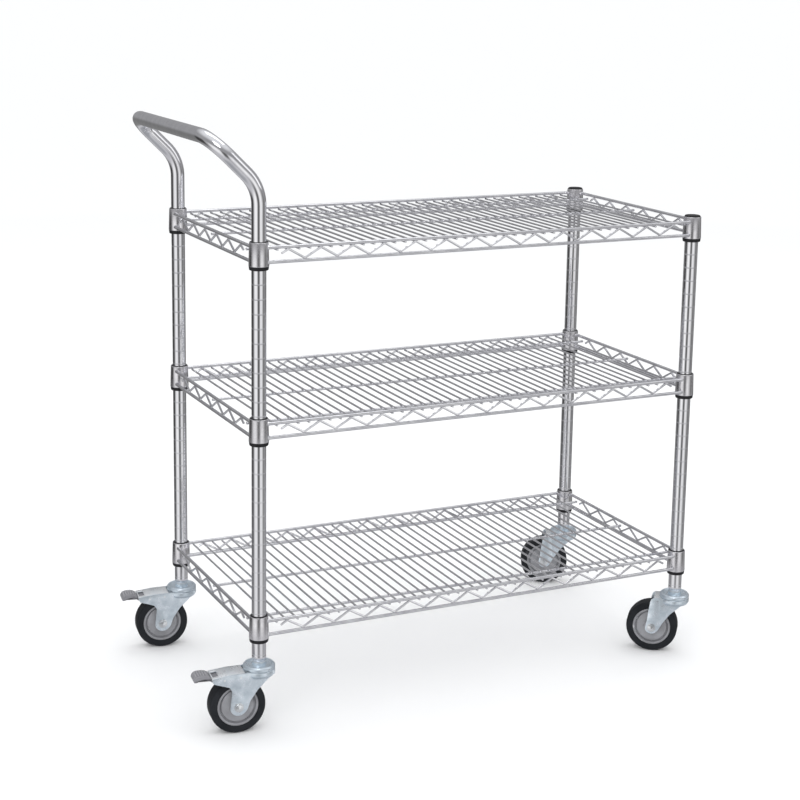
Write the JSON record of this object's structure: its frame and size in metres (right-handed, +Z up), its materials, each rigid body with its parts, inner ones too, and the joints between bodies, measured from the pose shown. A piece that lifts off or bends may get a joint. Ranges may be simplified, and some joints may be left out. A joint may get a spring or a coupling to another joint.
{
  "type": "wire shelf cart",
  "caption": "Chrome wire utility cart: slatted wire shelves on grooved tube posts, a raised push handle at one end, and swivel casters, those at the handle end with foot brakes.",
  "frame": {"origin": "on the floor, midway between the four posts", "axes": "+X along the shelves away from the push handle, +Y across the shelves to the back, +Z up"},
  "size_m": [1.0265, 0.5113, 1.0577],
  "materials": {
    "chrome_wire": "bright chrome plate on welded wire",
    "chrome_tube": "bright chrome plate on tube",
    "black_plastic": "black moulded plastic",
    "zinc_plate": "clear zinc plate, satin",
    "bearing_steel": "ground steel",
    "wheel_plastic": "warm grey moulded nylon",
    "tyre_rubber": "solid black rubber",
    "grey_plastic": "grey moulded plastic"
  },
  "bodies": {
    "frame": {"bottom_shelf_deck": "chrome_wire", "bottom_shelf_front_truss": "chrome_wire", "bottom_shelf_back_truss": "chrome_wire", "bottom_shelf_left_truss": "chrome_wire", "bottom_shelf_right_truss": "chrome_wire", "bottom_shelf_collars": "chrome_tube", "bottom_shelf_sleeves": "black_plastic", "middle_shelf_deck": "chrome_wire", "middle_shelf_front_truss": "chrome_wire", "middle_shelf_back_truss": "chrome_wire", "middle_shelf_left_truss": "chrome_wire", "middle_shelf_right_truss": "chrome_wire", "middle_shelf_collars": "chrome_tube", "middle_shelf_sleeves": "black_plastic", "top_shelf_deck": "chrome_wire", "top_shelf_front_truss": "chrome_wire", "top_shelf_back_truss": "chrome_wire", "top_shelf_left_truss": "chrome_wire", "top_shelf_right_truss": "chrome_wire", "top_shelf_collars": "chrome_tube", "top_shelf_sleeves": "black_plastic", "front_left_post": "chrome_tube", "back_left_post": "chrome_tube", "front_right_post": "chrome_tube", "back_right_post": "chrome_tube", "post_caps": "black_plastic", "post_foot_inserts": "zinc_plate", "push_handle": "chrome_tube", "handle_spigots": "zinc_plate", "front_left_caster_stem": "zinc_plate", "back_left_caster_stem": "zinc_plate", "front_right_caster_stem": "zinc_plate", "back_right_caster_stem": "zinc_plate"},
    "front_left_swivel": {"front_left_caster_fork": "zinc_plate", "front_left_caster_axle": "zinc_plate", "front_left_caster_balls": "bearing_steel", "front_left_brake_pins": "zinc_plate"},
    "front_left_wheel": {"front_left_wheel_core": "wheel_plastic", "front_left_tyre": "tyre_rubber"},
    "front_left_pedal": {"front_left_brake_pedal": "grey_plastic"},
    "front_left_shoe": {"front_left_brake_shoe": "zinc_plate"},
    "back_left_swivel": {"back_left_caster_fork": "zinc_plate", "back_left_caster_axle": "zinc_plate", "back_left_caster_balls": "bearing_steel", "back_left_brake_pins": "zinc_plate"},
    "back_left_wheel": {"back_left_wheel_core": "wheel_plastic", "back_left_tyre": "tyre_rubber"},
    "back_left_pedal": {"back_left_brake_pedal": "grey_plastic"},
    "back_left_shoe": {"back_left_brake_shoe": "zinc_plate"},
    "front_right_swivel": {"front_right_caster_fork": "zinc_plate", "front_right_caster_axle": "zinc_plate", "front_right_caster_balls": "bearing_steel"},
    "front_right_wheel": {"front_right_wheel_core": "wheel_plastic", "front_right_tyre": "tyre_rubber"},
    "back_right_swivel": {"back_right_caster_fork": "zinc_plate", "back_right_caster_axle": "zinc_plate", "back_right_caster_balls": "bearing_steel"},
    "back_right_wheel": {"back_right_wheel_core": "wheel_plastic", "back_right_tyre": "tyre_rubber"}
  },
  "joints": [
    {"name": "front_left_swivel_turn", "type": "hinge", "parent": "frame", "child": "front_left_swivel", "pos_m": [-0.4375, -0.2125, 0.113], "axis": [0, 0, 1], "continuous": true},
    {"name": "front_left_wheel_spin", "type": "hinge", "parent": "front_left_swivel", "child": "front_left_wheel", "pos_m": [-0.47819, -0.2075, 0.05], "axis": [-0.1219, -0.9925, 0], "continuous": true},
    {"name": "front_left_pedal_press", "type": "hinge", "parent": "front_left_swivel", "child": "front_left_pedal", "pos_m": [-0.50301, -0.20446, 0.103], "axis": [-0.1219, -0.9925, 0], "range_deg": [0, 16]},
    {"name": "front_left_shoe_swing", "type": "hinge", "parent": "front_left_swivel", "child": "front_left_shoe", "pos_m": [-0.47422, -0.20799, 0.1053], "axis": [-0.1219, -0.9925, 0], "range_deg": [0, 5.61]},
    {"name": "back_left_swivel_turn", "type": "hinge", "parent": "frame", "child": "back_left_swivel", "pos_m": [-0.4375, 0.2125, 0.113], "axis": [0, 0, 1], "continuous": true},
    {"name": "back_left_wheel_spin", "type": "hinge", "parent": "back_left_swivel", "child": "back_left_wheel", "pos_m": [-0.4781, 0.21821, 0.05], "axis": [-0.1392, -0.9903, 0], "continuous": true},
    {"name": "back_left_pedal_press", "type": "hinge", "parent": "back_left_swivel", "child": "back_left_pedal", "pos_m": [-0.50286, 0.22168, 0.103], "axis": [-0.1392, -0.9903, 0], "range_deg": [0, 16]},
    {"name": "back_left_shoe_swing", "type": "hinge", "parent": "back_left_swivel", "child": "back_left_shoe", "pos_m": [-0.47414, 0.21765, 0.1053], "axis": [-0.1392, -0.9903, 0], "range_deg": [0, 5.61]},
    {"name": "front_right_swivel_turn", "type": "hinge", "parent": "frame", "child": "front_right_swivel", "pos_m": [0.4375, -0.2125, 0.113], "axis": [0, 0, 1], "continuous": true},
    {"name": "front_right_wheel_spin", "type": "hinge", "parent": "front_right_swivel", "child": "front_right_wheel", "pos_m": [0.40564, -0.1867, 0.05], "axis": [-0.6293, -0.7771, 0], "continuous": true},
    {"name": "back_right_swivel_turn", "type": "hinge", "parent": "frame", "child": "back_right_swivel", "pos_m": [0.4375, 0.2125, 0.113], "axis": [0, 0, 1], "continuous": true},
    {"name": "back_right_wheel_spin", "type": "hinge", "parent": "back_right_swivel", "child": "back_right_wheel", "pos_m": [0.4013, 0.23175, 0.05], "axis": [-0.4695, -0.8829, 0], "continuous": true}
  ],
  "couplings": [
    {"joint": "front_left_shoe_swing", "follows": "front_left_pedal_press", "ratio": 0.35},
    {"joint": "back_left_shoe_swing", "follows": "back_left_pedal_press", "ratio": 0.35}
  ]
}
